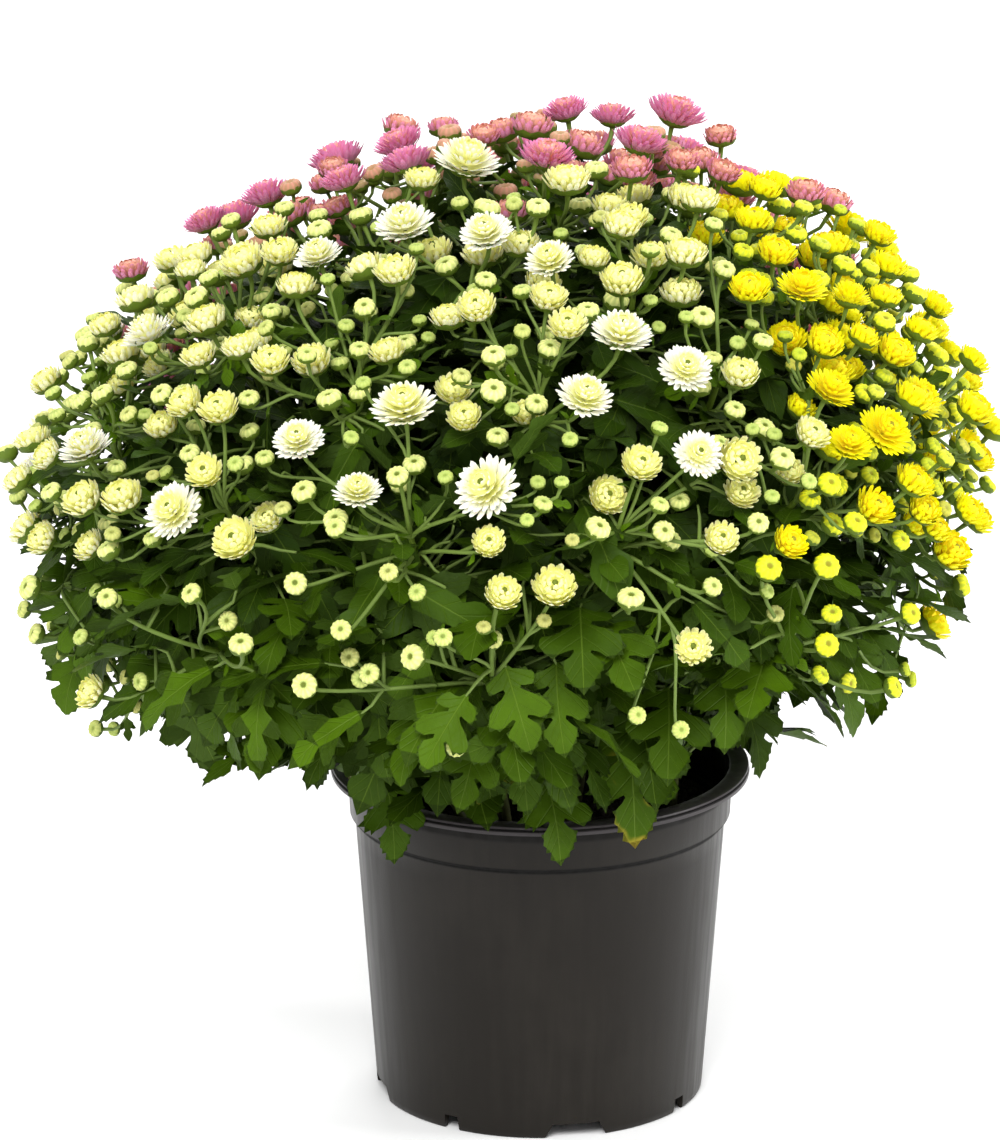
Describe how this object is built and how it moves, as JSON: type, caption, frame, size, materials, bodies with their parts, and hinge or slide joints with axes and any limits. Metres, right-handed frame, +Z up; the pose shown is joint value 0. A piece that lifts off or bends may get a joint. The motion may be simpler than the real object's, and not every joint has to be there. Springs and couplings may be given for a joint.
{
  "type": "pot chrysanthemum",
  "caption": "Potted garden chrysanthemum: a rounded crown of white, yellow and pink heads over lobed leaves, in a round dark grower's pot that stands on its foot ring.",
  "frame": {"origin": "Middle of the bounding box in X and Y, on the ground under the pot. The pot's axis stands 18 mm to +X of it, because the crown reaches farther to the left than to the right.", "axes": "+Z up. The side seen in the picture faces -Y, with its right towards +X."},
  "size_m": [0.5407, 0.5164, 0.5482],
  "materials": {
    "pot": "satin",
    "soil": "matte",
    "foliage": "satin",
    "white_flowers": "matte",
    "yellow_flowers": "matte",
    "pink_flowers": "matte"
  },
  "bodies": {
    "root": {"pot": "pot", "soil": "soil", "white_stem_1": "foliage", "white_stem_2": "foliage", "white_stem_3": "foliage", "white_stem_4": "foliage", "white_stem_5": "foliage", "white_stem_6": "foliage", "white_stem_7": "foliage", "white_spray_1": "white_flowers", "white_spray_2": "white_flowers", "white_spray_3": "white_flowers", "white_spray_4": "white_flowers", "white_spray_5": "white_flowers", "white_spray_6": "white_flowers", "white_spray_7": "white_flowers", "white_spray_8": "white_flowers", "white_spray_9": "white_flowers", "white_spray_10": "white_flowers", "white_spray_11": "white_flowers", "white_spray_12": "white_flowers", "white_spray_13": "white_flowers", "white_spray_14": "white_flowers", "white_spray_15": "white_flowers", "yellow_stem_1": "foliage", "yellow_stem_2": "foliage", "yellow_stem_3": "foliage", "yellow_stem_4": "foliage", "yellow_spray_1": "yellow_flowers", "yellow_spray_2": "yellow_flowers", "yellow_spray_3": "yellow_flowers", "yellow_spray_4": "yellow_flowers", "yellow_spray_5": "yellow_flowers", "yellow_spray_6": "yellow_flowers", "yellow_spray_7": "yellow_flowers", "yellow_spray_8": "yellow_flowers", "pink_stem_1": "foliage", "pink_stem_2": "foliage", "pink_stem_3": "foliage", "pink_stem_4": "foliage", "pink_stem_5": "foliage", "pink_stem_6": "foliage", "pink_stem_7": "foliage", "pink_stem_8": "foliage", "pink_spray_1": "pink_flowers", "pink_spray_2": "pink_flowers", "pink_spray_3": "pink_flowers", "pink_spray_4": "pink_flowers", "pink_spray_5": "pink_flowers", "pink_spray_6": "pink_flowers", "pink_spray_7": "pink_flowers", "pink_spray_8": "pink_flowers", "pink_spray_9": "pink_flowers", "pink_spray_10": "pink_flowers", "pink_spray_11": "pink_flowers", "pink_spray_12": "pink_flowers", "pink_spray_13": "pink_flowers", "pink_spray_14": "pink_flowers", "pink_spray_15": "pink_flowers", "pink_spray_16": "pink_flowers"}
  },
  "joints": []
}
